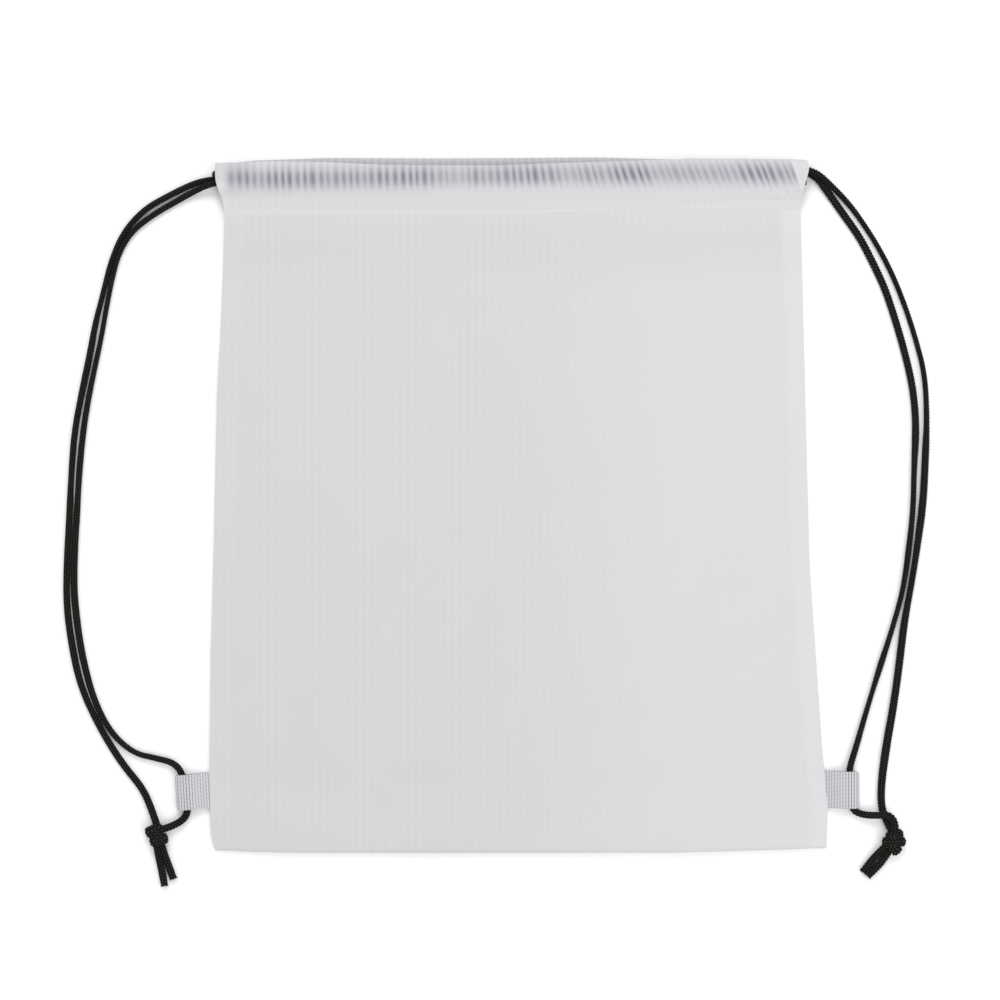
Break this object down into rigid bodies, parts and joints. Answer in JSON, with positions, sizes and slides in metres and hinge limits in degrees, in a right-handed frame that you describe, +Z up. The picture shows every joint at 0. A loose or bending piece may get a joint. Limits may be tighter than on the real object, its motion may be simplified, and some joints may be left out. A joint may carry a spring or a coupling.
{
  "type": "drawstring bag",
  "caption": "Flat white drawstring backpack bag lying on its back, with two black cord straps run through its cased mouth, side tabs and knotted cord ends.",
  "frame": {"origin": "middle of the bag's outline, without its cords, on the surface that it lies on", "axes": "+X across the bag, +Y from the bottom fold to the mouth, +Z up from the surface"},
  "size_m": [0.505, 0.4218, 0.0165],
  "materials": {
    "white_cloth": "plain woven, slightly translucent",
    "black_cord": "round braid, matt",
    "tab_webbing": "white ribbed grosgrain webbing",
    "sewing_thread": "spun thread"
  },
  "bodies": {
    "bag": {"back_panel": "white_cloth", "bottom_fold": "white_cloth", "left_seam_allowance": "white_cloth", "right_seam_allowance": "white_cloth", "left_side_seam": "white_cloth", "right_side_seam": "white_cloth", "left_side_seam_thread": "sewing_thread", "right_side_seam_thread": "sewing_thread", "back_casing": "white_cloth", "back_casing_thread": "sewing_thread", "left_back_casing_end_thread": "sewing_thread", "right_back_casing_end_thread": "sewing_thread", "left_tab": "tab_webbing", "right_tab": "tab_webbing", "left_tab_thread": "sewing_thread", "right_tab_thread": "sewing_thread", "left_cord_back_run": "black_cord", "right_cord_back_run": "black_cord", "left_cord_turn": "black_cord", "right_cord_turn": "black_cord", "left_outer_lead": "black_cord", "left_inner_lead": "black_cord", "right_outer_lead": "black_cord", "right_inner_lead": "black_cord"},
    "front": {"front_panel": "white_cloth", "front_casing": "white_cloth", "front_casing_thread": "sewing_thread", "left_front_casing_end_thread": "sewing_thread", "right_front_casing_end_thread": "sewing_thread", "left_cord_front_run": "black_cord", "right_cord_front_run": "black_cord"},
    "left_strap": {"left_outer_strand": "black_cord", "left_inner_strand": "black_cord", "left_knot": "black_cord", "left_outer_tail": "black_cord", "left_inner_tail": "black_cord"},
    "right_strap": {"right_outer_strand": "black_cord", "right_inner_strand": "black_cord", "right_knot": "black_cord", "right_outer_tail": "black_cord", "right_inner_tail": "black_cord"}
  },
  "joints": [
    {"name": "mouth_open", "type": "hinge", "parent": "bag", "child": "front", "pos_m": [0, -0.1961, 0.01055], "axis": [1, 0, 0], "range_deg": [0, 8]},
    {"name": "left_strap_swing", "type": "hinge", "parent": "bag", "child": "left_strap", "pos_m": [-0.1924, -0.1672, 0.004], "axis": [0.0141, 0.9999, 0], "range_deg": [0, 75]},
    {"name": "right_strap_swing", "type": "hinge", "parent": "bag", "child": "right_strap", "pos_m": [0.1953, -0.1672, 0.004], "axis": [0.0304, -0.9995, 0], "range_deg": [0, 75]}
  ]
}
